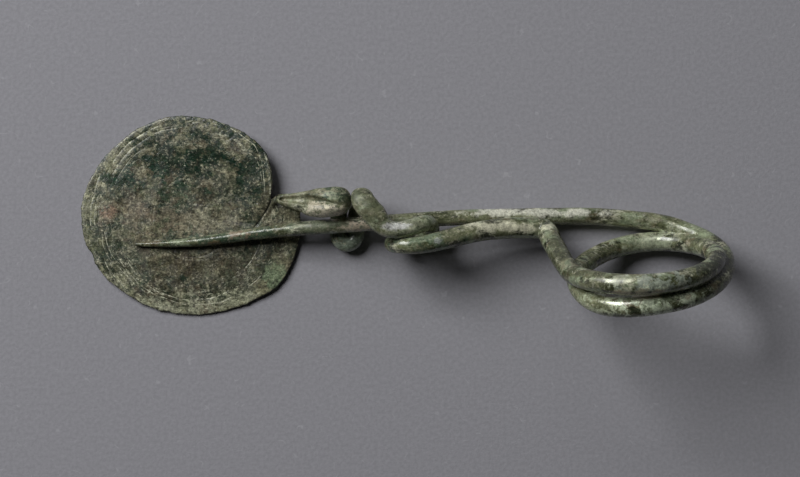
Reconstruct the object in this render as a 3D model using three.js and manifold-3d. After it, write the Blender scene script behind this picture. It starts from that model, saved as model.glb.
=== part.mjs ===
// A serpentine fibula wrought from one bronze bar. The bar is drawn out to a pin, wound into a spring coil,
// bent into the bow with its two small loops, rolled into a catch and hammered out into a spiral disc foot.
// It lies on its side on a table at z = 0, as it would when put down: pin along X, disc at the -X end.
import * as THREE from "three";
import { mergeVertices } from "three/addons/utils/BufferGeometryUtils.js";
import Module from "manifold-3d";

const wasm = await Module();
wasm.setup();

// Driving dimensions, in millimetres and degrees.
const pinTipThickness = 0.6;
const pinThickness = 4.1; // where it leaves the coil
const pinLength = 134.9; // from the coil to the tip
const pinRise = 4.2; // how far its middle stands above its root
const pinLift = 0.15; // of its root over the table
const pinSwing = 6.8; // how far its tip lies to the -Y side of its root

const coilRadius = 17.95; // of the wire's centreline
const coilWire = 4.65;
const coilFirstTurn = 0.04; // where the bow runs into the coil, in turns from its -X side
const coilTurns = 1.65; // where the pin leaves it
const coilLeanInner = 17; // of the inner turn's plane, from upright
const coilLeanOuter = 31; // of the outer turn's plane
const coilShift = 2.4; // how far the outer turn's centre lies to the +X side of the inner turn's
const coilDrop = 1.6; // how much lower the outer turn's centre is
const coilLift = 0.12; // of the inner turn over the table
const coilSway = [ // turns, place across of the turn's centre
  [0, 0], [0.25, 1.5], [0.5, 2.5], [0.7, 1.2], [0.8, -0.6], [0.9, -2.6], [1, -2.6],
  [1.1, -2.7], [1.25, 0.95], [1.38, 1.8], [1.5, 1.5], [1.65, 1.0], [1.75, 1.0],
];
const coilSwell = [ // turns, thickness as a share of the wire
  [0, 1.02], [0.25, 1.04], [0.5, 1], [0.75, 1], [1, 1.03], [1.25, 1.12], [1.45, 1], [1.75, 1],
];

const bowWire = 5.0;
const bowLength = 37.1; // from the loop's middle to the coil
const bowHeight = 7.3; // of the centreline over the table, at the elbow
const bowSwell = 5.4; // how much higher the centreline is at the loop

const loopRadius = 4.9; // of the small full turn at the end of the bow
const loopWire = 3.9;
const loopSway = [ // turns, place across
  [0, 0], [0.25, 0.4], [0.5, 1.9], [0.75, 4.1], [0.88, 5.5], [1, 4.4],
];
const loopLift = 0.9; // of the loop over the table
const crossReach = 12.2; // of the strand that crosses over the pin, along the pin
const crossWidth = 5.6; // of that strand, which is flattened
const crossThickness = 3.4;
const bendWire = 3.6; // thickness of the bend that passes under the pin
const bendBreadth = 3.9; // of its bar there
const bendReach = 11.6; // from the crossing strand's end to the middle of the bend, across the pin
const bendWidth = 4.4; // between the two legs of the bend, on centres

const catchLength = 20.5;
const catchWidth = 6.7;
const catchThickness = 4.4;
const catchHeight = 10.2; // of its centreline over the table, at the bend
const hollowWidth = 2.3; // of the trough rolled into the catch
const hollowDepth = 1.5;
const ridgeWire = 1.5; // where the catch runs out along the disc's edge

const sheetThickness = 1.2;
const rimThickness = 0.8;
const seamStep = 0.4; // where the disc's spiral overlaps itself
const seamRadius = 10.3;
const flapLift = 3.0; // of the spiral's outer end over the neck
const rimLift = 0.5; // of the uneven rim, which is bent up a little
const discOffset = 16.1; // from the end of the ridge to the disc's centre
const neckRadius = 26.4; // from the disc's centre to the neck's free edge
// Radius of the disc's rim, by the angle from the pin, turning clockwise: a spiral that ends in the flap.
const rim = [
  [0, 26.6], [30, 26.5], [60, 24.2], [90, 23.9], [120, 24.9], [150, 27.0], [180, 27.75],
  [210, 26.3], [240, 25.9], [270, 24.7], [300, 24.3], [315, 23.4], [330, 20.8], [345, 18.1], [360, 15.1],
];
const rimStart = -9; // direction of the rim's first point
const chips = [ // nicks in the rim: angle, width, depth
  [151.5, 3.5, 0.9],
  [43.5, 3, 0.6],
  [237, 5, 0.35],
];

// Fineness of the faceted surface.
const wireSides = 12;
const coilStepAngle = 12;
const loopStepAngle = 22.5;
const discSteps = 90;

const radians = THREE.MathUtils.degToRad;
const smooth = THREE.MathUtils.smoothstep;
const mix = THREE.MathUtils.lerp;

function at(x, y, z) {
  return new THREE.Vector3(x, y, z);
}

// A closed solid from vertices and triangles that face out.
function solid(vertices, triangles) {
  const geometry = new THREE.BufferGeometry().setFromPoints(vertices);
  geometry.setIndex(triangles);
  const merged = mergeVertices(geometry, 1e-4);
  return new wasm.Manifold(
    new wasm.Mesh({
      numProp: 3,
      vertProperties: merged.attributes.position.array,
      triVerts: new Uint32Array(merged.index.array),
    }),
  );
}

// A knot of the bar: its place, its section across and through, and the direction of its broad side.
function knot(point, wide, thick = wide, broadside = at(0, -1, 0)) {
  return { point, wide, thick, broadside };
}

// Splits the spline through the knots into stations no further apart than each knot's own step.
function stationsAlong(knots) {
  const curve = new THREE.CatmullRomCurve3(knots.map((k) => k.point), false, "centripetal");
  const stations = [];
  for (let i = 0; i < knots.length - 1; i += 1) {
    const [from, to] = [knots[i], knots[i + 1]];
    const pieces = Math.max(1, Math.ceil(from.point.distanceTo(to.point) / from.step));
    const last = i === knots.length - 2;
    for (let j = 0; j < pieces + (last ? 1 : 0); j += 1) {
      const share = j / pieces;
      const place = (i + share) / (knots.length - 1);
      stations.push({
        centre: curve.getPoint(place),
        along: curve.getTangent(place),
        wide: mix(from.wide, to.wide, share),
        thick: mix(from.thick, to.thick, share),
        broadside: from.broadside.clone().lerp(to.broadside, share),
      });
    }
  }
  return stations;
}

// Sweeps an oval section through the stations and closes both ends.
function sweep(stations, sides) {
  const vertices = [];
  const triangles = [];
  for (const { centre, along, wide, thick, broadside } of stations) {
    const side = broadside.clone().addScaledVector(along, -broadside.dot(along)).normalize();
    const up = along.clone().cross(side);
    for (let k = 0; k < sides; k += 1) {
      const turn = (2 * Math.PI * k) / sides;
      vertices.push(
        centre.clone()
          .addScaledVector(side, (wide / 2) * Math.cos(turn))
          .addScaledVector(up, (thick / 2) * Math.sin(turn)),
      );
    }
  }
  const rings = stations.length;
  for (let i = 0; i < rings - 1; i += 1) {
    for (let k = 0; k < sides; k += 1) {
      const next = (k + 1) % sides;
      const [a, b] = [i * sides + k, i * sides + next];
      triangles.push(a, b, b + sides, a, b + sides, a + sides);
    }
  }
  const first = vertices.push(stations[0].centre) - 1;
  const last = vertices.push(stations[rings - 1].centre) - 1;
  for (let k = 0; k < sides; k += 1) {
    const next = (k + 1) % sides;
    const base = (rings - 1) * sides;
    triangles.push(first, next, k, last, base + k, base + next);
  }
  return solid(vertices, triangles);
}

// Gives a run of knots the distance between its stations.
function stepped(step, knots) {
  return knots.map((k) => ({ ...k, step }));
}

// A smooth value between the entries of a list of [place, value], as a hand-bent wire follows its course.
function follow(list, place) {
  const last = list.length - 1;
  let i = 0;
  while (i < last - 1 && place > list[i + 1][0]) i += 1;
  const [from, to] = [list[i], list[i + 1]];
  const [before, after] = [list[Math.max(i - 1, 0)], list[Math.min(i + 2, last)]];
  const gap = to[0] - from[0];
  const startSlope = (gap * (to[1] - before[1])) / (to[0] - before[0]);
  const endSlope = (gap * (after[1] - from[1])) / (after[0] - from[0]);
  const share = (place - from[0]) / gap;
  const rest = 1 - share;
  return rest * rest * ((1 + 2 * share) * from[1] + share * startSlope)
    + share * share * ((1 + 2 * rest) * to[1] - rest * endSlope);
}

// The small loop: one full turn about an axis along Y, from the end of the bow to the hook.
const loopCentre = at(1.1, -7.1, loopRadius + loopWire / 2 + loopLift);
function loopPoint(turns) {
  const angle = 2 * Math.PI * turns;
  return at(
    loopCentre.x - loopRadius * Math.sin(angle),
    loopCentre.y + follow(loopSway, turns),
    loopCentre.z + loopRadius * Math.cos(angle),
  );
}

function loopKnots() {
  const knots = [];
  const count = Math.round(360 / loopStepAngle);
  for (let i = 0; i <= count; i += 1) {
    knots.push(knot(loopPoint(i / count), loopWire, loopWire * 0.95));
  }
  return stepped(Infinity, knots);
}

// The spring coil, counted in turns from its -X side. It stands on edge: its inner turn leans a little to
// the -Y side and its outer turn more, so that the two lie side by side at the top and on the table.
const coilCentre = at(
  loopCentre.x + bowLength + coilRadius * Math.cos(2 * Math.PI * coilFirstTurn),
  -12.3,
  coilWire / 2 + coilRadius * Math.cos(radians(coilLeanInner)) + coilLift,
);
function coilPoint(turns) {
  const angle = 2 * Math.PI * turns;
  const outer = smooth(turns, 0.65, 1.25);
  const lean = radians(mix(coilLeanInner, coilLeanOuter, outer));
  const rise = coilRadius * Math.sin(angle);
  return at(
    coilCentre.x + coilShift * smooth(turns, 0.5, 0.95) - coilRadius * Math.cos(angle),
    coilCentre.y + follow(coilSway, turns) - rise * Math.sin(lean),
    coilCentre.z - coilDrop * outer + rise * Math.cos(lean),
  );
}

function coilKnots() {
  const knots = [];
  const count = Math.round(((coilTurns - coilFirstTurn) * 360) / coilStepAngle);
  for (let i = 0; i <= count; i += 1) {
    const turns = mix(coilFirstTurn, coilTurns, i / count);
    const wire = mix(coilWire, pinThickness, smooth(turns, 1.3, coilTurns));
    knots.push(knot(coilPoint(turns), wire * follow(coilSwell, turns)));
  }
  return stepped(Infinity, knots);
}

// The pin runs back from the coil, rises over the bend and comes down over the disc.
function pinKnots() {
  const root = coilPoint(coilTurns);
  const lowest = pinThickness / 2 + pinLift;
  // Shares of the pin's length, swing, rise and thickness.
  const course = [
    [0.042, 0.26, 0.29, 1.0],
    [0.1, 0.11, 0.0, 1.0],
    [0.17, 0.0, 0.0, 0.99],
    [0.26, 0.0, 0.14, 0.97],
    [0.43, 0.06, 0.64, 0.88],
    [0.593, 0.28, 1.0, 0.85],
    [0.7, 0.44, 0.64, 0.79],
    [0.779, 0.61, 0.4, 0.67],
    [0.882, 0.9, 0.17, 0.52],
    [0.955, 0.985, 0.05, 0.34],
    [1.0, 1.0, 0.0, pinTipThickness / pinThickness],
  ];
  return stepped(4, course.map(([length, swing, rise, share]) => knot(
    at(root.x - pinLength * length, -pinSwing * swing, lowest + pinRise * rise),
    pinThickness * share,
  )));
}

// The bow drops steeply from the coil, turns at the elbow and runs to the loop.
function bowKnots() {
  const start = coilPoint(coilFirstTurn);
  const end = loopPoint(0);
  const elbow = at(end.x + bowLength * 0.865, end.y + 4.0, bowHeight);
  // Share of the length from the loop, place across, share of the swell, thickness as a share.
  const course = [
    [0.749, 4.3, 0.0, 1.02],
    [0.571, 4.1, 0.15, 0.99],
    [0.415, 3.3, 0.37, 0.95],
    [0.251, 1.8, 0.69, 0.91],
    [0.084, 0.4, 0.93, 0.84],
  ];
  return stepped(2, [
    knot(elbow.clone().lerp(start, 0.65), bowWire * 0.97),
    knot(elbow.clone().lerp(start, 0.27), bowWire * 0.98),
    knot(elbow, bowWire),
    ...course.map(([length, across, swell, share]) => knot(
      at(end.x + bowLength * length, end.y + across, bowHeight + bowSwell * swell),
      bowWire * share,
    )),
  ]);
}

// From the hook the strand flattens, crosses over the pin and turns down on its +Y side.
function crossingKnots() {
  const hook = loopPoint(1);
  const past = (x, y, z) => hook.clone().add(at(x, y, z).multiplyScalar(crossReach));
  return stepped(1.3, [
    knot(past(-0.279, -0.057, 0.041), loopWire, loopWire * 0.9, at(-0.2, -1, 0)),
    knot(past(-0.484, -0.025, 0.066), crossWidth * 0.74, crossThickness, at(-0.5, -0.8, 0)),
    knot(past(-0.639, 0.098, 0.082), crossWidth * 0.9, crossThickness, at(-0.7, -0.7, 0)),
    knot(past(-0.738, 0.254, 0.082), crossWidth, crossThickness, at(-0.75, -0.65, 0)),
    knot(past(-0.852, 0.369, 0.074), crossWidth, crossThickness, at(-0.8, -0.6, 0)),
    knot(past(-0.959, 0.508, 0.057), crossWidth, crossThickness, at(-0.95, -0.3, 0)),
    knot(past(-0.992, 0.607, -0.016), crossWidth * 0.95, crossThickness, at(-1, -0.1, 0)),
    knot(past(-1, 0.639, -0.148), crossWidth * 0.85, crossThickness, at(-1, 0, 0)),
  ]);
}

// The bend goes down, passes under the pin, turns back round it and climbs to the catch.
const bendLow = bendWire / 2 + 0.3;
const bendStart = loopPoint(1).add(at(-0.992, 0.623, 0).multiplyScalar(crossReach));
const bendBack = bendStart.x - 1.5; // of the leg nearer the coil
const bendFront = bendBack - bendWidth;
function bendKnots() {
  const far = bendStart.y - bendReach;
  const radius = bendWidth / 2;
  const across = (share) => bendStart.y - bendReach * share;
  const turn = (degrees) => at(
    bendBack - radius + radius * Math.cos(radians(degrees)),
    far + radius - radius * Math.sin(radians(degrees)),
    bendLow,
  );
  return stepped(1.4, [
    knot(at(bendStart.x, across(0.03), loopCentre.z), bendWire * 1.15, bendWire, at(-1, 0, 0)),
    knot(at(bendBack + 0.9, across(0.17), bendLow + 2.4), bendWire, bendWire, at(-1, 0, 0)),
    knot(at(bendBack, across(0.38), bendLow), bendBreadth, bendWire, at(-1, 0, 0)),
    knot(turn(0), bendBreadth, bendWire, at(-1, 0, 0)),
    knot(turn(45), bendBreadth, bendWire, at(-1, 1, 0)),
    knot(turn(90), bendBreadth, bendWire, at(0, 1, 0)),
    knot(turn(135), bendBreadth, bendWire, at(1, 1, 0)),
    knot(turn(180), bendBreadth, bendWire, at(1, 0, 0)),
    knot(at(bendFront + 0.2, across(0.34), bendLow + 0.8), bendBreadth, bendWire, at(1, -0.3, 0)),
    knot(at(bendFront + 0.8, across(0.15), bendLow + 4.2), bendWire, bendWire, at(0.6, -0.8, 0)),
  ]);
}

// The catch, rolled like a leaf, falls towards the disc and runs out as a ridge along the flap's edge.
const catchStart = at(bendFront + 1.3, bendStart.y - 0.9, catchHeight);
function place(length, across, height) {
  return at(catchStart.x - catchLength * length, catchStart.y + across, catchHeight * height);
}

function catchKnots() {
  return stepped(1.5, [
    knot(place(0.0, 0, 0.92), catchWidth * 0.86, catchThickness),
    knot(place(0.08, -0.1, 1.0), catchWidth * 0.98, catchThickness),
    knot(place(0.28, -0.5, 0.9), catchWidth * 0.97, catchThickness),
    knot(place(0.45, -0.5, 0.74), catchWidth * 0.76, catchThickness * 0.82),
    knot(place(0.62, -0.3, 0.57), catchWidth * 0.52, catchThickness * 0.66),
    knot(place(0.77, 0.1, 0.4), ridgeWire * 1.5, ridgeWire * 1.4, at(0.2, -1, 0)),
    knot(place(0.84, -0.7, 0.27), ridgeWire * 1.2, ridgeWire, at(0.7, -0.7, 0)),
    knot(place(0.9, -2.9, 0.16), ridgeWire, ridgeWire, at(0.9, -0.5, 0)),
    knot(place(0.98, -5.1, 0.11), ridgeWire * 0.8, ridgeWire * 0.8, at(0.9, -0.5, 0)),
  ]);
}

// The trough between the catch's two rolled lips, open above, shallow towards the bend.
function hollow() {
  const top = (catchThickness / 2) / catchHeight;
  return sweep(stationsAlong(stepped(1.4, [
    knot(place(0.02, -1.5, 0.97 + top), hollowWidth * 0.25, hollowDepth * 0.5),
    knot(place(0.14, -0.7, 0.98 + top), hollowWidth * 0.4, hollowDepth),
    knot(place(0.3, -0.3, 0.86 + top), hollowWidth, hollowDepth * 1.5),
    knot(place(0.45, 0.0, 0.66 + top), hollowWidth * 1.2, hollowDepth * 1.6),
    knot(place(0.62, 0.1, 0.49 + top), hollowWidth * 0.8, hollowDepth * 1.2),
    knot(place(0.76, 0.1, 0.36 + top * 0.6), hollowWidth * 0.4, hollowDepth * 0.5),
  ])), 8);
}

// The neck: sheet hammered out from the ridge, falling to the disc and passing under the flap.
const discCentre = at(catchStart.x - catchLength - discOffset, -0.4, 0);
function neck() {
  const lowest = sheetThickness / 2 + 0.05;
  const inside = (share, direction) => at(
    discCentre.x + neckRadius * share * Math.cos(radians(direction)),
    discCentre.y + neckRadius * share * Math.sin(radians(direction)),
    lowest,
  );
  const ridgeSide = new THREE.CatmullRomCurve3([
    place(0.498, -1.8, 0.52), place(0.688, -1.1, 0.353), place(0.849, -1.6, 0.186), place(1.005, -5.6, 0.088),
  ]);
  const discSide = new THREE.CatmullRomCurve3([
    inside(1, -10), inside(0.9, -12.6), inside(0.751, -14.6), inside(0.577, -13.7),
  ]);
  const columns = 8;
  const rows = 6;
  const sag = 0.5;
  const vertices = [];
  for (const face of [1, -1]) {
    for (let i = 0; i <= columns; i += 1) {
      const from = ridgeSide.getPoint(i / columns);
      const to = discSide.getPoint(i / columns);
      for (let j = 0; j <= rows; j += 1) {
        const share = j / rows;
        const point = from.clone().lerp(to, share);
        const hang = sag * Math.sin(Math.PI * share) * (1 - i / columns);
        const middle = Math.max(point.z - hang, sheetThickness / 2 + 0.02);
        vertices.push(point.setZ(middle + (face * sheetThickness) / 2));
      }
    }
  }
  const wide = rows + 1;
  const under = (columns + 1) * wide;
  const triangles = [];
  for (let i = 0; i < columns; i += 1) {
    for (let j = 0; j < rows; j += 1) {
      const a = i * wide + j;
      const [b, c, d] = [a + 1, a + wide + 1, a + wide];
      triangles.push(a, c, b, a, d, c);
      triangles.push(under + a, under + b, under + c, under + a, under + c, under + d);
    }
  }
  const wall = (a, b) => triangles.push(a, b, b + under, a, b + under, a + under);
  for (let i = 0; i < columns; i += 1) {
    wall((i + 1) * wide, i * wide);
    wall(i * wide + rows, (i + 1) * wide + rows);
  }
  for (let j = 0; j < rows; j += 1) {
    wall(j, j + 1);
    wall(columns * wide + j + 1, columns * wide + j);
  }
  return solid(vertices, triangles);
}

// Radius of the disc's rim at an angle, with its chips.
function rimRadius(angle) {
  const nicks = chips.map(([where, width, depth]) => depth * Math.exp(-(((angle - where) / width) ** 2)));
  return follow(rim, angle) - nicks.reduce((sum, nick) => sum + nick, 0);
}

// Height of the disc's underside: flat in the middle, uneven at the rim, lifted where the flap overlaps.
function underside(angle, radius) {
  const edge = smooth(radius, seamRadius * 1.2, 26);
  const wave = 0.5 + 0.5 * Math.sin(radians(3 * angle + 40));
  const flap = smooth(angle, 215, 318) * (1 - smooth(angle, 338, 362));
  return rimLift * edge * wave * (1 - flap) + flapLift * flap * smooth(radius, seamRadius * 0.9, 22);
}

// The disc: a spiral sheet, thinner at its rim, with a low step where its turns overlap.
function disc() {
  const vertices = [];
  const topRings = 8;
  const underRings = 5;
  const seamHalf = 0.35;
  const bevel = 0.15; // of the rim's upper edge
  const seamAt = (angle) => seamRadius + (rim[rim.length - 1][1] - seamRadius) * Math.exp(-angle / 22);
  const pointAt = (angle, radius, height) => {
    const turn = radians(rimStart - angle);
    return at(radius * Math.cos(turn), radius * Math.sin(turn), height).add(discCentre);
  };
  const topShares = [0.2, 0.45, 0.7, 0.88, 0.96, 1];
  const underShares = [0.75, 0.45, 0.15];
  for (let i = 0; i < discSteps; i += 1) {
    const angle = (360 * i) / discSteps;
    const outer = rimRadius(angle);
    const seam = Math.min(seamAt(angle), outer - 3);
    const step = seamStep * (1 - smooth(angle, 120, 330));
    const radii = [seam * 0.5, seam - seamHalf, ...topShares.map((s) => mix(seam + seamHalf, outer, s))];
    radii.forEach((radius, k) => {
      const thin = smooth(radius, outer * 0.7, outer);
      const thick = mix(sheetThickness, rimThickness, thin);
      const raised = k === 1 ? step : 0;
      const cut = k === topRings - 1 ? bevel : 0;
      vertices.push(pointAt(angle, radius - cut, underside(angle, radius) + thick + raised - cut));
    });
    const lower = [outer - bevel, ...underShares.map((s) => mix(seam, outer, s)), seam * 0.9];
    lower.forEach((radius) => vertices.push(pointAt(angle, radius, underside(angle, radius))));
  }
  const rings = topRings + underRings;
  const topCentre = vertices.push(pointAt(0, 0, sheetThickness)) - 1;
  const lowCentre = vertices.push(pointAt(0, 0, 0)) - 1;
  const triangles = [];
  for (let i = 0; i < discSteps; i += 1) {
    const here = i * rings;
    const next = ((i + 1) % discSteps) * rings;
    triangles.push(topCentre, next, here);
    triangles.push(lowCentre, here + rings - 1, next + rings - 1);
    for (let k = 0; k < rings - 1; k += 1) {
      triangles.push(here + k, next + k, next + k + 1, here + k, next + k + 1, here + k + 1);
    }
  }
  return solid(vertices, triangles);
}

// The whole bar, from the pin's tip to the end of the ridge.
function bar() {
  const knots = [
    ...pinKnots().reverse(),
    ...coilKnots().reverse(),
    ...bowKnots(),
    ...loopKnots(),
    ...crossingKnots(),
    ...bendKnots(),
    ...catchKnots(),
  ];
  return sweep(stationsAlong(knots), wireSides);
}

function meshOf(name, shape, material) {
  const { vertProperties, triVerts } = shape.getMesh();
  const geometry = new THREE.BufferGeometry();
  geometry.setAttribute("position", new THREE.BufferAttribute(vertProperties, 3));
  geometry.setIndex(new THREE.BufferAttribute(triVerts, 1));
  geometry.computeBoundingBox();
  const box = geometry.boundingBox;
  geometry.translate(-(box.min.x + box.max.x) / 2, -(box.min.y + box.max.y) / 2, -box.min.z);
  geometry.computeVertexNormals();
  const mesh = new THREE.Mesh(geometry, material);
  mesh.name = name;
  return mesh;
}

const bronze = new THREE.MeshStandardMaterial({ color: 0x5c6152, roughness: 0.55, metalness: 0.6 });
const fibula = bar().subtract(hollow()).add(neck()).add(disc());

const group = new THREE.Group();
group.add(meshOf("fibula", fibula, bronze));

export default group;
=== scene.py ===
import math
import bmesh
import bpy
import numpy as np
from mathutils import Matrix, Vector


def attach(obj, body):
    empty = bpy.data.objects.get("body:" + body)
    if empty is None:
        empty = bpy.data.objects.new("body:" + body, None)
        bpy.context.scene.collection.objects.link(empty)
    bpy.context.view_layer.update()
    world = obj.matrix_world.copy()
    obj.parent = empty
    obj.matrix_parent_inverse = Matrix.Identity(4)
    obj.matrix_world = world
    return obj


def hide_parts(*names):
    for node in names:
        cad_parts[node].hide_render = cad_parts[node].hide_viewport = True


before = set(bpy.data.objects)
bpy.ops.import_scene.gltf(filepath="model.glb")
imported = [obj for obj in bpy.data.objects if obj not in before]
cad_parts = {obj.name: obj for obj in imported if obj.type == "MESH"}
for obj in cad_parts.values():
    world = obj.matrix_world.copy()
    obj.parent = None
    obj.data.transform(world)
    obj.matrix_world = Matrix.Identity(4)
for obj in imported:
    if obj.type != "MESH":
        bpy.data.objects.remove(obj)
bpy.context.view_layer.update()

scene = bpy.context.scene

# The brooch's form. It is one bronze bar, hammered and bent by hand, so its skin is taken from the solid in
# model.glb: the solid's flat facets are rounded off, and the skin is cut into faces small enough to carry
# the tooled lines, the hammering and the corrosion.
skin_grain = 0.00023  # between points before the flat places are thinned out
skin_triangles = 194000
coarse_angle = math.radians(35)  # neighbouring triangles flatter than this are one face of the bar

rough = bmesh.new()
rough.from_mesh(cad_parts["fibula"].data)
bmesh.ops.remove_doubles(rough, verts=rough.verts, dist=1e-6)
bmesh.ops.join_triangles(
    rough,
    faces=rough.faces,
    angle_face_threshold=coarse_angle,
    angle_shape_threshold=coarse_angle,
)
brooch = bpy.data.objects.new("brooch", bpy.data.meshes.new("brooch"))
rough.to_mesh(brooch.data)
rough.free()
scene.collection.objects.link(brooch)


def settle(piece):
    """Turns the piece's modifiers into plain mesh and takes them off."""
    bpy.context.view_layer.update()
    shaped = piece.evaluated_get(bpy.context.evaluated_depsgraph_get())
    made = bpy.data.meshes.new_from_object(shaped)
    piece.modifiers.clear()
    piece.data = made
    piece.data.name = piece.name


rounding = brooch.modifiers.new("rounding", "SUBSURF")
rounding.levels = rounding.render_levels = 2
skin = brooch.modifiers.new("skin", "REMESH")
skin.mode = "VOXEL"
skin.voxel_size = skin_grain
settle(brooch)


# The tooling and the wear. The smith turned fine lines round the disc, hammered the bar along its length,
# and the ground has since pitted it. Each is a height along the surface, in millimetres, added up in one
# tree of nodes, which also marks what is disc, what is its top and what is its rim.
disc_centre = (-51.3, -0.67)
disc_radius = 28.2
disc_radius_fade = 0.6
disc_top = 4.8  # of the lifted flap
disc_top_fade = 0.5
pin_over_disc = ((-65.9, -6.74), (-6.8, -2.34))  # the pin's line where it passes over the disc
pin_reach = (2.6, 2.0)  # beside that line: no pin beyond the first, all pin within the second
pin_clearance = 1.75  # what lies this high under the pin's line is pin
pin_clearance_fade = 0.1
top_face = (0.3, 0.75)  # how much the disc's skin looks up where its top begins, and where it is all top
rim_face = (0.88, 0.4)  # and how little where its rim begins, and where it is all rim
swell = 0.17  # gives the bar back what rounding takes off its facets
hammer_size = 3.6
hammer_depth = 0.13
disc_hammer_size = 6.5
disc_hammer_depth = 0.34
pit_size = 0.75
pit_depth = 0.08
pit_levels = (0.42, 0.3)  # of the grain, where a pit begins and where it is deepest
crust_size = 0.42
crust_height = 0.04
crust_levels = (0.54, 0.66)
smooth_bar = 0.4  # share of the pits and crust that is left on the wires
rim_wear = 0.55
rim_wear_size = 2.2
lip_centre = (-18.5, 0.0)  # the catch's lower lip is thicker than the solid's
lip_reach = (7.5, 3.0)
lip_fade = (1.0, 0.3)  # as the square of the share of its reach
lip_face = (0.0, 0.6)  # how much the skin looks outward where the thickening begins and is full
lip_height = (4.0, 5.5)
lip_swell = 0.6
line_wander = 0.55
line_wander_size = 7.0
line_wear_size = 4.5  # the pale lines are worn away in patches of this size
line_wear_levels = (0.36, 0.5)
line_full_share = 0.75  # of a line's half span: beyond it the line runs out
turned_lines = [  # radius, widening for each degree, direction of its middle, half its span, width, depth
    (22.6, 0.0, 124, 32, 0.20, 0.13),
    (24.0, 0.0, 134, 26, 0.20, 0.11),
    (21.0, 0.0, 142, 16, 0.18, 0.08),
    (25.3, 0.045, 70, 24, 0.30, -0.15),
    (22.2, 0.15, 34, 19, 0.36, -0.18),
    (23.9, 0.045, 72, 26, 0.18, 0.12),
    (20.7, 0.15, 35, 18, 0.18, 0.11),
    (19.4, 0.12, 30, 14, 0.16, 0.08),
    (23.2, 0.0, 92, 20, 0.18, 0.10),
    (25.2, 0.0, 172, 20, 0.18, 0.09),
    (24.2, 0.01, 184, 26, 0.18, 0.11),
    (23.1, 0.0, 196, 26, 0.16, 0.10),
    (21.9, -0.01, 206, 30, 0.18, 0.12),
    (20.8, 0.0, 218, 26, 0.16, 0.10),
    (19.6, 0.01, 230, 22, 0.18, 0.09),
    (24.0, 0.0, 224, 26, 0.18, 0.11),
    (22.9, 0.02, 232, 18, 0.16, 0.10),
    (19.8, 0.0, 272, 36, 0.20, 0.13),
    (20.9, 0.01, 262, 28, 0.18, 0.10),
    (17.4, 0.0, 316, 26, 0.18, 0.09),
    (21.4, 0.0, 304, 22, 0.20, 0.10),
    (9.9, 0.0, 148, 58, 0.20, 0.055),
    (9.9, 0.0, 60, 22, 0.20, 0.05),
    (10.2, 0.004, 268, 44, 0.20, 0.06),
    (3.6, 0.0, 92, 16, 0.30, 0.45),
]
dark_lines = [  # where the spiral's free edge lies over the neck, painted nearly black as that edge's shadow, and a crack at the disc's middle
    (17.3, 0.22, 3, 13, 0.26, 0.30),
    (9.4, 0.0, 283, 34, 0.18, 0.10),
]
line_depth_share = 0.5  # of the lines' depth that is cut in the mesh: the rest is in the material
crease_centre = (-7.7, 1.5, 15.0)  # the crossing strand is creased across where it was bent
crease_reach = 4.8
crease_full_share = 0.5
crease_way = (0.59, -0.81)
crease_spacing = 2.3
crease_wander_size = 2.5
crease_depth = 0.045
millimetre = 0.001


def feed(tree, socket, value):
    """Gives a socket another node's output or a plain value."""
    if isinstance(value, bpy.types.NodeSocket):
        tree.links.new(value, socket)
    else:
        socket.default_value = value


def add(tree, kind, inputs=None, **settings):
    """A node with its settings and its inputs, which are given by name or number."""
    made = tree.nodes.new(kind)
    for name, value in settings.items():
        setattr(made, name, value)
    for key, value in (inputs or {}).items():
        feed(tree, made.inputs[key], value)
    return made


def calc(tree, operation, *values):
    """One step of arithmetic."""
    return add(tree, "ShaderNodeMath", dict(enumerate(values)), operation=operation).outputs[0]


def chain(tree, operation, values):
    """The same step of arithmetic taken through several values, such as their sum."""
    result = values[0]
    for value in values[1:]:
        result = calc(tree, operation, result, value)
    return result


def ramp(tree, value, low, high):
    """Rises smoothly from 0 at low to 1 at high, or falls where high is the smaller."""
    rise = add(
        tree,
        "ShaderNodeMapRange",
        {"Value": value, "From Min": min(low, high), "From Max": max(low, high)},
        interpolation_type="SMOOTHSTEP",
    ).outputs[0]
    return calc(tree, "SUBTRACT", 1.0, rise) if high < low else rise


def blend(tree, share, low, high):
    """Goes from low to high as the share goes from 0 to 1."""
    return add(tree, "ShaderNodeMix", {0: share, 2: low, 3: high}, data_type="FLOAT").outputs[0]


def grain_of(tree, place, size, detail=2.0, roughness=0.5):
    """A mottle from 0 to 1 whose patches are about size across."""
    inputs = {"Vector": place, "Scale": 1 / size, "Detail": detail, "Roughness": roughness}
    return add(tree, "ShaderNodeTexNoise", inputs).outputs[0]


def new_group(name, kind, inputs, outputs):
    """An empty group of nodes with named inputs, as (kind, start value), and named outputs."""
    tree = bpy.data.node_groups.new(name, kind)
    for title, (socket_kind, start) in inputs.items():
        socket = tree.interface.new_socket(title, in_out="INPUT", socket_type=socket_kind)
        if start is not None:
            socket.default_value = start
    for title, socket_kind in outputs.items():
        tree.interface.new_socket(title, in_out="OUTPUT", socket_type=socket_kind)
    return tree, tree.nodes.new("NodeGroupInput").outputs, tree.nodes.new("NodeGroupOutput").inputs


FLOAT = "NodeSocketFloat"
VECTOR = "NodeSocketVector"


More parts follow.
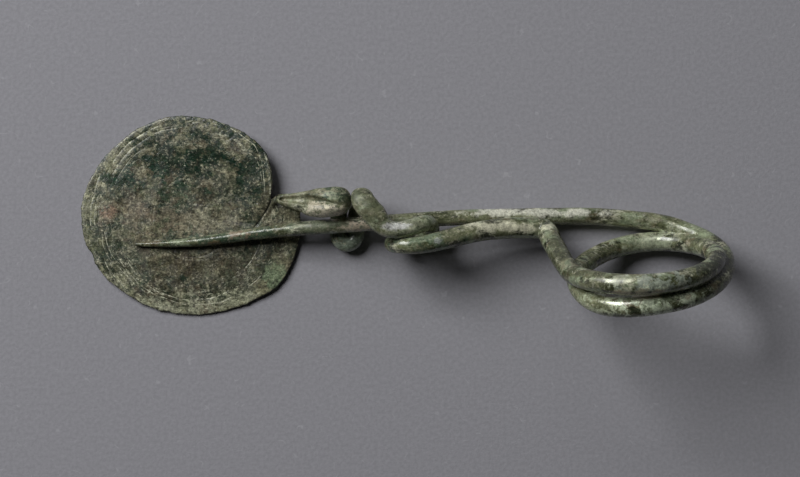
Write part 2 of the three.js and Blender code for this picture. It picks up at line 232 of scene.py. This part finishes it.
def line_group(name, kind):
    """A group of nodes that gives the height of one fine line turned round the disc."""
    tree, given, result = new_group(
        name,
        kind,
        {
            "Distance": (FLOAT, 0.0),
            "Direction": (FLOAT, 0.0),
            "Radius": (FLOAT, 10.0),
            "Widening": (FLOAT, 0.0),
            "Middle": (FLOAT, 0.0),
            "Half span": (FLOAT, 180.0),
            "Width": (FLOAT, 0.3),
            "Depth": (FLOAT, 0.1),
        },
        {"Height": FLOAT},
    )
    from_middle = calc(tree, "SUBTRACT", given["Direction"], given["Middle"])
    from_middle = calc(tree, "WRAP", from_middle, 180.0, -180.0)
    line_radius = calc(tree, "MULTIPLY_ADD", from_middle, given["Widening"], given["Radius"])
    off_line = calc(tree, "SUBTRACT", given["Distance"], line_radius)
    share = calc(tree, "POWER", calc(tree, "DIVIDE", off_line, given["Width"]), 2.0)
    valley = calc(tree, "EXPONENT", calc(tree, "MULTIPLY", share, -1.0))
    inside = add(
        tree,
        "ShaderNodeMapRange",
        {
            "Value": calc(tree, "ABSOLUTE", from_middle),
            "From Min": calc(tree, "MULTIPLY", given["Half span"], line_full_share),
            "From Max": given["Half span"],
            "To Min": 1.0,
            "To Max": 0.0,
        },
        interpolation_type="SMOOTHSTEP",
    ).outputs[0]
    cut = calc(tree, "MULTIPLY", calc(tree, "MULTIPLY", valley, inside), given["Depth"])
    feed(tree, result["Height"], calc(tree, "MULTIPLY", cut, -1.0))
    return tree


def turned(tree, group, place, width_share):
    """The heights of the pale lines and of the dark ones, and the distance and direction they use."""
    x, y, _ = add(tree, "ShaderNodeSeparateXYZ", {0: place}).outputs
    east = calc(tree, "SUBTRACT", x, disc_centre[0])
    north = calc(tree, "SUBTRACT", y, disc_centre[1])
    squares = calc(tree, "ADD", calc(tree, "POWER", east, 2.0), calc(tree, "POWER", north, 2.0))
    distance = calc(tree, "SQRT", squares)
    direction = calc(tree, "DEGREES", calc(tree, "ARCTAN2", north, east))
    wander = calc(tree, "SUBTRACT", grain_of(tree, place, line_wander_size, 1.0), 0.5)
    wandered = calc(tree, "MULTIPLY_ADD", wander, 2 * line_wander, distance)
    kind = "ShaderNodeGroup" if tree.type == "SHADER" else "GeometryNodeGroup"
    heights = []
    for table in (turned_lines, dark_lines):
        lines = []
        for radius, widening, middle, half_span, width, depth in table:
            values = {
                "Distance": wandered,
                "Direction": direction,
                "Radius": radius,
                "Widening": widening,
                "Middle": middle,
                "Half span": half_span,
                "Width": width * width_share,
                "Depth": depth,
            }
            lines.append(add(tree, kind, values, node_tree=group).outputs[0])
        heights.append(chain(tree, "ADD", lines))
    pale, dark = heights
    worn = ramp(tree, grain_of(tree, place, line_wear_size, 4.0, 0.6), *line_wear_levels)
    return calc(tree, "MULTIPLY", pale, worn), dark, distance, calc(tree, "RADIANS", direction)


line_tree = line_group("turned_line", "GeometryNodeTree")
relief, given, result = new_group(
    "worked_surface",
    "GeometryNodeTree",
    {
        "Geometry": ("NodeSocketGeometry", None),
        "Material": ("NodeSocketMaterial", None),
        "Hammer depth": (FLOAT, hammer_depth),
        "Disc hammer depth": (FLOAT, disc_hammer_depth),
        "Pit depth": (FLOAT, pit_depth),
        "Crust height": (FLOAT, crust_height),
        "Swell": (FLOAT, swell),
    },
    {"Geometry": "NodeSocketGeometry"},
)
position = add(relief, "GeometryNodeInputPosition").outputs[0]
normal = add(relief, "GeometryNodeInputNormal").outputs[0]
scaled_up = {0: position, "Scale": 1 / millimetre}
place = add(relief, "ShaderNodeVectorMath", scaled_up, operation="SCALE").outputs[0]
x, y, z = add(relief, "ShaderNodeSeparateXYZ", {0: place}).outputs
_, northward, upward = add(relief, "ShaderNodeSeparateXYZ", {0: normal}).outputs

# What is disc, what is its top and what is its rim. The pin passes over the disc and isn't part of it.
pale_cuts, dark_cuts, distance, _ = turned(relief, line_tree, place, 1.0)
pin_start, pin_end = pin_over_disc
pin_slope = (pin_end[1] - pin_start[1]) / (pin_end[0] - pin_start[0])
pin_y = calc(relief, "MULTIPLY_ADD", x, pin_slope, pin_start[1] - pin_slope * pin_start[0])
off_pin = calc(relief, "ABSOLUTE", calc(relief, "SUBTRACT", y, pin_y))
pin_high = ramp(relief, z, pin_clearance - pin_clearance_fade, pin_clearance + pin_clearance_fade)
on_pin = calc(relief, "MULTIPLY", ramp(relief, off_pin, *pin_reach), pin_high)
within = ramp(relief, distance, disc_radius + disc_radius_fade, disc_radius - disc_radius_fade)
sheet = calc(relief, "MULTIPLY", within, ramp(relief, z, disc_top + disc_top_fade, disc_top))
on_disc = calc(relief, "MULTIPLY", sheet, calc(relief, "SUBTRACT", 1.0, on_pin))
facing = calc(relief, "MULTIPLY", on_disc, ramp(relief, upward, *top_face))
rim = calc(relief, "MULTIPLY", on_disc, ramp(relief, upward, *rim_face))
bar = calc(relief, "SUBTRACT", 1.0, on_disc)

along_lip = calc(relief, "DIVIDE", calc(relief, "SUBTRACT", x, lip_centre[0]), lip_reach[0])
across_lip = calc(relief, "DIVIDE", calc(relief, "SUBTRACT", y, lip_centre[1]), lip_reach[1])
off_lip = calc(relief, "ADD", calc(relief, "POWER", along_lip, 2.0), calc(relief, "POWER", across_lip, 2.0))
outward = ramp(relief, calc(relief, "MULTIPLY", northward, -1.0), *lip_face)
lip_masks = (ramp(relief, off_lip, *lip_fade), outward, ramp(relief, z, *lip_height))
lip = chain(relief, "MULTIPLY", lip_masks)

from_crease = {0: place, 1: crease_centre}
crease_apart = add(relief, "ShaderNodeVectorMath", from_crease, operation="SUBTRACT").outputs[0]
crease_away = add(relief, "ShaderNodeVectorMath", {0: crease_apart}, operation="LENGTH").outputs["Value"]
along_bend = calc(relief, "MULTIPLY_ADD", x, crease_way[0], calc(relief, "MULTIPLY", y, crease_way[1]))
along_bend = calc(relief, "ADD", along_bend, grain_of(relief, place, crease_wander_size, 1.0))
ripple = calc(relief, "SINE", calc(relief, "MULTIPLY", along_bend, 2 * math.pi / crease_spacing))
near_crease = ramp(relief, crease_away, crease_reach, crease_full_share * crease_reach)

cuts = calc(relief, "MULTIPLY_ADD", pale_cuts, line_depth_share, dark_cuts)
blows = calc(relief, "SUBTRACT", grain_of(relief, place, hammer_size, 1.0), 0.5)
disc_blows = calc(relief, "SUBTRACT", grain_of(relief, place, disc_hammer_size, 2.0), 0.5)
nibbled = calc(relief, "SUBTRACT", grain_of(relief, place, rim_wear_size, 3.0), 0.5)
pits = ramp(relief, grain_of(relief, place, pit_size, 2.0, 0.6), *pit_levels)
crust = ramp(relief, grain_of(relief, place, crust_size, 3.0, 0.6), *crust_levels)
weathered = blend(relief, on_disc, smooth_bar, 1.0)
heights = [
    chain(relief, "MULTIPLY", factors)
    for factors in (
        (cuts, facing),
        (bar, given["Swell"]),
        (blows, bar, given["Hammer depth"]),
        (disc_blows, facing, given["Disc hammer depth"]),
        (nibbled, rim, 2 * rim_wear),
        (lip, lip_swell),
        (ripple, near_crease, crease_depth),
        (pits, given["Pit depth"], -1.0, weathered),
        (crust, given["Crust height"], weathered),
    )
]
height = calc(relief, "MULTIPLY", chain(relief, "ADD", heights), millimetre)
offset = add(relief, "ShaderNodeVectorMath", {0: normal, "Scale": height}, operation="SCALE").outputs[0]

# The marks are kept at each point of the surface, for the bronze's colours.
surface = given["Geometry"]
for name, value in (("disc", on_disc), ("disc_top", facing), ("rim", rim)):
    mark = {"Geometry": surface, "Name": name, "Value": value}
    kept = add(relief, "GeometryNodeStoreNamedAttribute", mark, data_type="FLOAT", domain="POINT")
    surface = kept.outputs["Geometry"]
worked = add(relief, "GeometryNodeSetPosition", {"Geometry": surface, "Offset": offset}).outputs[0]
plain = add(relief, "GeometryNodeRealizeInstances", {0: worked}).outputs[0]
coated = {"Geometry": plain, "Material": given["Material"]}
finished = add(relief, "GeometryNodeSetMaterial", coated).outputs[0]
feed(relief, result["Geometry"], finished)


# The bronze's patina. Dark green and olive corrosion covers the metal, with paler mineral and earth on the
# disc and in the hollows, brown where the wire was rubbed, and a soft gloss on the wires.
gain = 2.1  # the light on the brooch is weaker than full, so its own colours are paler than they look


def seen(red, green, blue):
    """The bronze's own colour that looks like these 0 to 255 values under this scene's light."""
    return tuple(min(1.0, gain * (value / 255) ** 2.2) for value in (red, green, blue)) + (1.0,)


pale_mineral = seen(172, 172, 156)
nearly_black = seen(20, 23, 19)
stain_raggedness = 2.4  # how far a stain's edge wanders, as a share of its reach
stain_fade = (1.15, 0.55)  # shares of its reach where a stain ends and where it is full
line_width_share = 0.75  # the lines are drawn in colour a little narrower than they are cut
pale_line_gain = 9.0  # makes masks of the lines' heights
dark_line_gain = 6.0
line_levels = (0.2, 0.9)
turn_grain = 4.0  # streaks round the disc are this much longer than they are wide
turn_wander = 2.4
turn_wander_size = 6.0
bar_stretch = (0.5, 1.0, 1.0)  # patches on the bar are twice as long as wide
streak_stretch = (0.3, 1.0, 1.0)
scratch_size = 1.5
scratch_levels = (0.026, 0.008)  # of the grain about its middle: a scratch's edge, and its full width
outer_disc = (17.0, 20.0)  # from the disc's centre, where the scratches begin and where they are full
rim_earth = (22.4, 25.2)  # and the pale earth along the rim
swing_levels = (0.36, 0.64)
swing_on_bar = 0.45  # share of the fine mottling that the bar shows
polished_bar = 0.2  # roughness where the skin is smoothest
polished_disc = 0.34
dull_step = 0.2
matt_centre = (-18, 3, 9)  # the catch and the knot are matt
matt_reach = (16, 9, 14)
matt_step = 0.3
metal_share = 0.25
patina_ior = 1.75
fine_grain_size = 0.35
fine_grain_share = 0.8
fine_crust_share = 0.5
fine_share_on_bar = 0.25
fine_strength = 0.4
fine_depth = 0.00008

patch_tree, given, result = new_group(
    "patina_patch",
    "ShaderNodeTree",
    {
        "Place": (VECTOR, (0, 0, 0)),
        "Size": (FLOAT, 1.0),
        "Level": (FLOAT, 0.5),
        "Edge": (FLOAT, 0.1),
        "Detail": (FLOAT, 4.0),
        "Roughness": (FLOAT, 0.6),
    },
    {"Mask": FLOAT},
)
noise = add(
    patch_tree,
    "ShaderNodeTexNoise",
    {
        "Vector": given["Place"],
        "Scale": calc(patch_tree, "DIVIDE", 1.0, given["Size"]),
        "Detail": given["Detail"],
        "Roughness": given["Roughness"],
    },
).outputs[0]
lifted = add(
    patch_tree,
    "ShaderNodeMapRange",
    {
        "Value": noise,
        "From Min": calc(patch_tree, "SUBTRACT", given["Level"], given["Edge"]),
        "From Max": calc(patch_tree, "ADD", given["Level"], given["Edge"]),
    },
    interpolation_type="SMOOTHSTEP",
).outputs[0]
feed(patch_tree, result["Mask"], lifted)

stain_tree, given, result = new_group(
    "patina_stain",
    "ShaderNodeTree",
    {
        "Place": (VECTOR, (0, 0, 0)),
        "Centre": (VECTOR, (0, 0, 0)),
        "Reach": (VECTOR, (1, 1, 1)),
        "Ragged": (FLOAT, 0.0),
    },
    {"Mask": FLOAT},
)
from_centre = {0: given["Place"], 1: given["Centre"]}
apart = add(stain_tree, "ShaderNodeVectorMath", from_centre, operation="SUBTRACT").outputs[0]
by_reach = {0: apart, 1: given["Reach"]}
scaled = add(stain_tree, "ShaderNodeVectorMath", by_reach, operation="DIVIDE").outputs[0]
away = add(stain_tree, "ShaderNodeVectorMath", {0: scaled}, operation="LENGTH").outputs["Value"]
wander = calc(stain_tree, "SUBTRACT", given["Ragged"], 0.5)
ragged = calc(stain_tree, "MULTIPLY_ADD", wander, stain_raggedness, away)
feed(stain_tree, result["Mask"], ramp(stain_tree, ragged, *stain_fade))

bronze = bpy.data.materials.new("aged_bronze")
bronze.use_nodes = True
skin_tree = bronze.node_tree
finish = skin_tree.nodes["Principled BSDF"]
raw_place = add(skin_tree, "ShaderNodeTexCoord").outputs["Object"]
in_millimetres = {"Vector": raw_place, "Scale": (1 / millimetre,) * 3}
place = add(skin_tree, "ShaderNodeMapping", in_millimetres).outputs[0]
is_disc, is_top, is_rim = (
    add(skin_tree, "ShaderNodeAttribute", attribute_name=name).outputs["Fac"]
    for name in ("disc", "disc_top", "rim")
)
is_bar = calc(skin_tree, "SUBTRACT", 1.0, is_disc)


def patch(size, level, edge, detail=4.0, where=place, roughness=0.6):
    """A mask of patches about size millimetres across. A higher level leaves fewer of them."""
    values = {
        "Place": where,
        "Size": size,
        "Level": level,
        "Edge": edge,
        "Detail": detail,
        "Roughness": roughness,
    }
    return add(skin_tree, "ShaderNodeGroup", values, node_tree=patch_tree).outputs[0]


def stain(centre, reach, ragged):
    """The mask of one stain."""
    values = {"Place": place, "Centre": centre, "Reach": reach, "Ragged": ragged}
    return add(skin_tree, "ShaderNodeGroup", values, node_tree=stain_tree).outputs[0]


def both(*masks):
    """Where all the masks hold."""
    return chain(skin_tree, "MULTIPLY", masks)


def layered(tree, under, over, mask):
    """Lays one colour over another."""
    return add(tree, "ShaderNodeMix", {0: mask, 6: under, 7: over}, data_type="RGBA").outputs[2]


def coat(under, over, mask, share=1.0):
    """Lays one colour over another on the bronze, at some strength."""
    return layered(skin_tree, under, over, calc(skin_tree, "MULTIPLY", mask, share))


def crusted(colour, where, crusts):
    """Lays crusts over a colour, one over the other."""
    for shade, size, level, edge, detail, coarseness, share in crusts:
        colour = coat(colour, shade, patch(size, level, edge, detail, where, coarseness), share)
    return colour


# Where a place is from the disc's centre, for what follows the turned lines.
shader_lines = line_group("pale_line", "ShaderNodeTree")
line_heights, dark_heights, disc_distance, turn = turned(skin_tree, shader_lines, place, line_width_share)
is_hollow = both(calc(skin_tree, "ABSOLUTE", line_heights), is_top, pale_line_gain)
crack_and_painted_shadow = both(calc(skin_tree, "ABSOLUTE", dark_heights), is_top, dark_line_gain)
turn_grains = grain_of(skin_tree, place, turn_wander_size, 2.0)
bend = calc(skin_tree, "MULTIPLY_ADD", turn_grains, turn_wander, disc_distance)
around = add(
    skin_tree,
    "ShaderNodeCombineXYZ",
    {
        0: bend,
        1: calc(skin_tree, "MULTIPLY", calc(skin_tree, "SINE", turn), turn_grain),
        2: calc(skin_tree, "MULTIPLY", calc(skin_tree, "COSINE", turn), turn_grain),
    },
).outputs[0]

# What lies over what on the bar: dark metal, grey-green crust in patches, a little brown, pale mineral.
bar_crusts = [  # colour, size, level, edge, detail, roughness, strength
    (seen(56, 60, 42), 5.0, 0.5, 0.05, 6.0, 0.6, 0.9),
    (seen(112, 121, 98), 4.4, 0.52, 0.04, 7.0, 0.62, 0.85),
    (seen(156, 157, 136), 3.0, 0.57, 0.04, 8.0, 0.68, 0.8),
    (seen(96, 78, 62), 3.6, 0.6, 0.05, 6.0, 0.62, 0.4),
    (seen(24, 28, 20), 2.9, 0.575, 0.04, 8.0, 0.68, 0.85),
]
along_bar = add(skin_tree, "ShaderNodeMapping", {"Vector": place, "Scale": bar_stretch}).outputs[0]
bar_colour = crusted(seen(92, 95, 73), along_bar, bar_crusts)

# And on the disc: brown-grey and dark green in soft clouds, cut up by earth that follows the turned lines.
disc_crusts = [
    (seen(84, 86, 67), 5.0, 0.5, 0.13, 6.0, 0.66, 1.0),
    (seen(18, 36, 27), 8.0, 0.49, 0.1, 8.0, 0.7, 0.8),
    (seen(84, 74, 60), 4.6, 0.54, 0.09, 7.0, 0.68, 0.6),
    (seen(126, 123, 102), 2.2, 0.56, 0.06, 8.0, 0.72, 0.6),
]
disc_colour = crusted(seen(52, 55, 43), place, disc_crusts)
turned_earth = both(patch(1.0, 0.56, 0.05, 6.0, around, 0.7), patch(5.0, 0.48, 0.08))
disc_colour = coat(disc_colour, seen(124, 121, 101), turned_earth, 0.5)
contour = calc(skin_tree, "SUBTRACT", grain_of(skin_tree, around, scratch_size, 3.0, 0.5), 0.5)
scratched = ramp(skin_tree, calc(skin_tree, "ABSOLUTE", contour), *scratch_levels)
scratches = both(scratched, ramp(skin_tree, bend, *outer_disc), patch(3.0, 0.48, 0.06), is_top)
disc_colour = coat(disc_colour, seen(156, 156, 136), scratches, 0.65)
earthy = both(ramp(skin_tree, bend, *rim_earth), patch(2.8, 0.49, 0.08, 8.0, roughness=0.72))
disc_colour = coat(disc_colour, seen(118, 118, 94), earthy, 0.7)
# The disc's skin is darkened nearly to black where it faces sideways, along the sheet's edges.
disc_colour = coat(disc_colour, nearly_black, is_rim, 0.85)
colour = coat(bar_colour, disc_colour, is_disc)

# Stains of their own shape, where the corrosion is darker, paler or browner than round about. One of them
# also carries painted shade and one painted light, as marked.
ragged_edge = patch(3.4, 0.5, 0.16, 9.0, roughness=0.74)
stains = [  # centre, reach in millimetres, colour, strength
    ((-54, 15, 2), (11, 7, 9), seen(14, 36, 26), 0.88),
    ((-36, 8, 2), (5, 12, 9), seen(16, 36, 26), 0.88),
    ((-69, 9, 2), (6, 5, 9), seen(24, 46, 36), 0.8),
    ((-57, 4.5, 2), (6, 4, 9), seen(40, 56, 42), 0.7),
    ((-74, -4, 2), (3.5, 9, 9), seen(38, 48, 36), 0.6),
    ((-64, -14, 2), (5, 5, 9), seen(34, 50, 38), 0.6),
    ((-41, -13, 2), (8, 6, 9), seen(50, 56, 44), 0.6),
    ((-50, -1.5, 2), (4.5, 3.5, 9), seen(120, 114, 96), 0.55),
    ((-64, 0.5, 2), (8, 4, 9), seen(104, 94, 79), 0.5),
    ((-43, -1, 2), (7, 3.0, 9), seen(96, 96, 80), 0.5),
    ((-53, -13, 2), (12, 5, 9), seen(64, 58, 46), 0.55),
    ((-46, -23, 2), (14, 3, 9), seen(136, 138, 116), 0.65),
    ((-72.5, 1.2, 2), (1.8, 1.1, 4), seen(128, 106, 90), 0.55),
    ((-31.5, -15, 2), (2.2, 2.2, 4), seen(112, 128, 100), 0.5),
    ((-30, 0, 3), (6, 7, 4), seen(84, 80, 64), 0.6),
    ((-42, -5.2, 4.8), (14, 2.6, 2.6), seen(48, 66, 52), 0.7),
    ((-39.5, -4, 5.5), (2.5, 1.2, 2), seen(146, 126, 108), 0.5),
    ((-21, -3, 7), (7, 2.4, 3), seen(92, 98, 80), 0.5),
    ((-12, -2.7, 8), (4, 2.2, 3), seen(162, 150, 132), 0.75),
    ((-13, -6.9, 4), (5, 4, 4), seen(108, 118, 106), 0.8),
    ((-24, 4.2, 8), (4, 2, 4), seen(104, 102, 82), 0.6),
    ((-16.5, 4.8, 12), (4, 2.6, 4), seen(38, 54, 38), 0.85),
    ((-19, 0.8, 10.5), (7.5, 2.0, 4), seen(156, 150, 132), 0.85),
    ((-8, 2, 15), (5, 7, 5), seen(78, 80, 60), 0.65),
    ((1.5, -3.0, 14.6), (5.5, 2.2, 3), seen(138, 142, 120), 0.6),
    ((8.1, -6.1, 14), (0.8, 0.7, 1.5), seen(188, 196, 178), 0.9),
    ((6, -8, 13), (7, 2.4, 4), seen(66, 84, 68), 0.6),
    ((62, -1.5, 6), (7, 3, 4), seen(92, 96, 72), 0.6),
    ((37.5, -9, 21), (4, 6, 9), seen(64, 66, 50), 0.75),
    ((60, -6.2, 5), (10, 2.6, 4), seen(142, 148, 126), 0.65),
    ((47, -15, 36), (7, 4, 7), seen(62, 64, 46), 0.85),
    ((61, -16.5, 38), (9, 2.5, 5), seen(138, 146, 134), 0.65),
    # partly painted shade: dark corrosion on the right of the coil, laid darker still where the turns shade
    # each other
    ((75, -11, 28), (5, 7, 10), seen(34, 37, 27), 0.85),
    # partly painted light: pale sage crust on the coil's second turn, laid paler and wider to lift the
    # shade the first turn casts on it
    ((58, -20.8, 34), (12, 2.6, 8), seen(172, 184, 158), 0.85),
    ((44, -20, 30), (5, 4, 7), seen(112, 114, 86), 0.45),
    ((56, -18.8, 36.5), (7, 1.0, 3), seen(108, 88, 68), 0.6),
]
painted_highlights = [  # painted highlights: pale streaks on the tops of the pin, the bow, the hook and the coil's front turn, where the lamps' gloss falls: as the stains
    ((36, 0.75, 5.5), (24, 1.4, 2.2), seen(196, 192, 168), 0.85),
    ((24, -2.8, 10.8), (12, 1.4, 2.6), seen(182, 180, 158), 0.75),
    ((-1.5, -2.6, 15.2), (3.6, 1.1, 1.6), seen(196, 200, 180), 0.75),
    ((49.5, -15, 37.8), (5, 1.4, 1.8), seen(170, 174, 152), 0.5),
]
highlight_raggedness = 0.35  # share of the stains' own raggedness, for the painted highlights' edges
even_edge = 0.5 * (1 - highlight_raggedness)
highlight_edge = calc(skin_tree, "MULTIPLY_ADD", ragged_edge, highlight_raggedness, even_edge)
# The stains are laid first, then the painted highlights over them.
for places, ragged in ((stains, ragged_edge), (painted_highlights, highlight_edge)):
    for centre, reach, shade, share in places:
        colour = coat(colour, shade, stain(centre, reach, ragged), share)

# Last come grit, the pale dirt in the lines, specks of mineral and of black, and a fine mottling of it all.
grit = both(patch(0.7, 0.57, 0.04, 6.0, roughness=0.75), patch(3.6, 0.49, 0.05, 5.0))
colour = coat(colour, seen(150, 146, 126), grit, 0.55)
line_dirt = both(ramp(skin_tree, is_hollow, *line_levels), patch(1.6, 0.44, 0.06, 5.0))
colour = coat(colour, seen(164, 164, 144), line_dirt, 0.7)
# The dark lines are painted nearly black: along the spiral's free edge as painted shadow, at the disc's
# middle as a crack.
colour = coat(colour, nearly_black, ramp(skin_tree, crack_and_painted_shadow, *line_levels), 0.85)
colour = coat(colour, pale_mineral, patch(1.2, 0.66, 0.03, 8.0, roughness=0.75), 0.8)
dark_specks = calc(skin_tree, "SUBTRACT", 1.0, patch(1.3, 0.37, 0.03, 8.0, roughness=0.75))
colour = coat(colour, nearly_black, dark_specks, 0.8)
streaked = add(skin_tree, "ShaderNodeMapping", {"Vector": place, "Scale": streak_stretch}).outputs[0]
mottled = blend(skin_tree, is_disc, swing_on_bar, 1.0)
for where, size, span in ((place, 0.45, 0.6), (streaked, 0.5, 0.25), (place, 1.3, 0.5)):
    swing = add(
        skin_tree,
        "ShaderNodeMapRange",
        {
            "Value": grain_of(skin_tree, where, size, 6.0, 0.7),
            "From Min": swing_levels[0],
            "From Max": swing_levels[1],
            "To Min": -span,
            "To Max": span,
        },
    ).outputs[0]
    shade = calc(skin_tree, "MULTIPLY_ADD", swing, mottled, 1.0)
    shaded = {0: colour, "Scale": shade}
    colour = add(skin_tree, "ShaderNodeVectorMath", shaded, operation="SCALE").outputs[0]
feed(skin_tree, finish.inputs["Base Color"], colour)

dull = patch(3.6, 0.53, 0.06, 6.0, roughness=0.62)
bar_roughness = calc(skin_tree, "MULTIPLY_ADD", dull, dull_step, polished_bar)
matt = stain(matt_centre, matt_reach, 0.5)
bar_roughness = calc(skin_tree, "MULTIPLY_ADD", matt, matt_step, bar_roughness)
disc_roughness = calc(skin_tree, "MULTIPLY_ADD", dull, dull_step, polished_disc)
feed(skin_tree, finish.inputs["Roughness"], blend(skin_tree, is_disc, bar_roughness, disc_roughness))
feed(skin_tree, finish.inputs["Metallic"], both(is_bar, patch(2.5, 0.52, 0.08), metal_share))
finish.inputs["IOR"].default_value = patina_ior

fine_grain = both(grain_of(skin_tree, place, fine_grain_size, 4.0, 0.6), fine_grain_share)
fine_crust = both(patch(0.55, 0.6, 0.06, 5.0), fine_crust_share)
fine_lines = both(line_heights, is_top, pale_line_gain)
fine_height = chain(skin_tree, "ADD", (fine_grain, fine_crust, fine_lines))
fine_height = calc(skin_tree, "MULTIPLY", fine_height, blend(skin_tree, is_disc, fine_share_on_bar, 1.0))
fine_relief = {"Height": fine_height, "Strength": fine_strength, "Distance": fine_depth}
feed(skin_tree, finish.inputs["Normal"], add(skin_tree, "ShaderNodeBump", fine_relief).outputs[0])

working = brooch.modifiers.new("working", "NODES")
working.node_group = relief
sockets = {item.name: item.identifier for item in relief.interface.items_tree if item.in_out == "INPUT"}
working[sockets["Material"]] = bronze
settle(brooch)

triangles = sum(len(face.vertices) - 2 for face in brooch.data.polygons)
thinning = brooch.modifiers.new("thinning", "DECIMATE")
thinning.ratio = min(1.0, skin_triangles / triangles)
settle(brooch)

# Nothing of the skin reaches below the table top.
points = np.empty(len(brooch.data.vertices) * 3, np.float32)
brooch.data.vertices.foreach_get("co", points)
points = points.reshape(-1, 3)
points[:, 2] = np.maximum(points[:, 2], 0.0)
brooch.data.vertices.foreach_set("co", points.ravel())
brooch.data.update()
brooch.data.shade_smooth()

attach(brooch, "root")
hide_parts("fibula")


# The table top: a wide sheet of matt pale grey paper with a faint grain and a few paler threads. It lies
# plain and level under the brooch.
floor_reach = 1.5
paper_tone = (0.452, 0.448, 0.484)
paper_swing = 0.07  # share by which the paper is darker and paler from fleck to fleck
paper_roughness = 0.95
paper_gloss = 0.15
paper_relief = 0.0002
paper_relief_share = 0.35
fleck_size = 0.0009
fleck_levels = (0.3, 0.7)
thread_tone = (0.7, 0.7, 0.74, 1.0)
thread_share = 0.3
thread_spacing = 0.005
thread_levels = (0.012, 0.003)
thread_patch_size = 0.003  # each thread shows only in patches of this size
thread_patch_levels = (0.58, 0.66)

bpy.ops.mesh.primitive_grid_add(x_subdivisions=2, y_subdivisions=2, size=2 * floor_reach)
floor = bpy.context.active_object
floor.name = "table"
paper = bpy.data.materials.new("grey_paper")
paper.use_nodes = True
paper_tree = paper.node_tree
sheet_finish = paper_tree.nodes["Principled BSDF"]
sheet_place = add(paper_tree, "ShaderNodeTexCoord").outputs["Object"]
flecks = grain_of(paper_tree, sheet_place, fleck_size, 4.0, 0.65)
dark_paper, pale_paper = (
    tuple((1 + swing) * tone for tone in paper_tone) + (1.0,) for swing in (-paper_swing, paper_swing)
)
cast = layered(paper_tree, dark_paper, pale_paper, ramp(paper_tree, flecks, *fleck_levels))
thread = calc(paper_tree, "SUBTRACT", grain_of(paper_tree, sheet_place, thread_spacing, 1.0), 0.5)
thread = ramp(paper_tree, calc(paper_tree, "ABSOLUTE", thread), *thread_levels)
thread_patch = ramp(paper_tree, grain_of(paper_tree, sheet_place, thread_patch_size), *thread_patch_levels)
threads = chain(paper_tree, "MULTIPLY", (thread, thread_patch, thread_share))
cast = layered(paper_tree, cast, thread_tone, threads)
feed(paper_tree, sheet_finish.inputs["Base Color"], cast)
sheet_finish.inputs["Roughness"].default_value = paper_roughness
sheet_finish.inputs["Specular IOR Level"].default_value = paper_gloss
paper_heights = {"Height": flecks, "Strength": paper_relief_share, "Distance": paper_relief}
paper_bump = add(paper_tree, "ShaderNodeBump", paper_heights).outputs[0]
feed(paper_tree, sheet_finish.inputs["Normal"], paper_bump)
floor.data.materials.append(paper)


# The light: one large soft lamp high on the upper left, a weak strip lamp above the pin that draws the
# gloss along the wires, and a little even light all round.
sky_level = 0.008
sky_tone = (0.98, 0.99, 1.0, 1.0)
lamps = [  # name, direction, distance, width, height, power
    ("key_lamp", Vector((-0.86, 0.74, 0.93)).normalized(), 1.25, 0.8, 0.8, 10.7),
    ("strip_lamp", Vector((-0.33, 0.7, 0.62)).normalized(), 1.2, 1.15, 0.05, 1.1),
]
for name, direction, distance, width, height, power in lamps:
    lamp = bpy.data.objects.new(name, bpy.data.lights.new(name, "AREA"))
    lamp.data.shape = "ELLIPSE" if width == height else "RECTANGLE"
    lamp.data.size = width
    lamp.data.size_y = height
    lamp.data.energy = power
    along = (Vector((1, 0, 0)) - direction * direction.x).normalized()
    heading = Matrix((along, direction.cross(along), direction)).transposed()
    lamp.matrix_world = Matrix.Translation(direction * distance) @ heading.to_4x4()
    scene.collection.objects.link(lamp)

world = bpy.data.worlds.new("studio")
world.use_nodes = True
sky = world.node_tree.nodes["Background"]
sky.inputs["Color"].default_value = sky_tone
sky.inputs["Strength"].default_value = sky_level
scene.world = world
scene.view_settings.view_transform = "Standard"
scene.view_settings.look = "None"


# The camera looks straight down on the brooch through a long lens, with the pin across the picture and the
# coil on the right.
camera_place = (-0.00093, -0.00564, 0.7329)
sensor_width = 36
lens = 135
near_limit = 0.05

camera = bpy.data.objects.new("camera", bpy.data.cameras.new("camera"))
camera.data.sensor_width = sensor_width
camera.data.lens = lens
camera.location = camera_place
camera.data.clip_start = near_limit
scene.collection.objects.link(camera)
scene.camera = camera
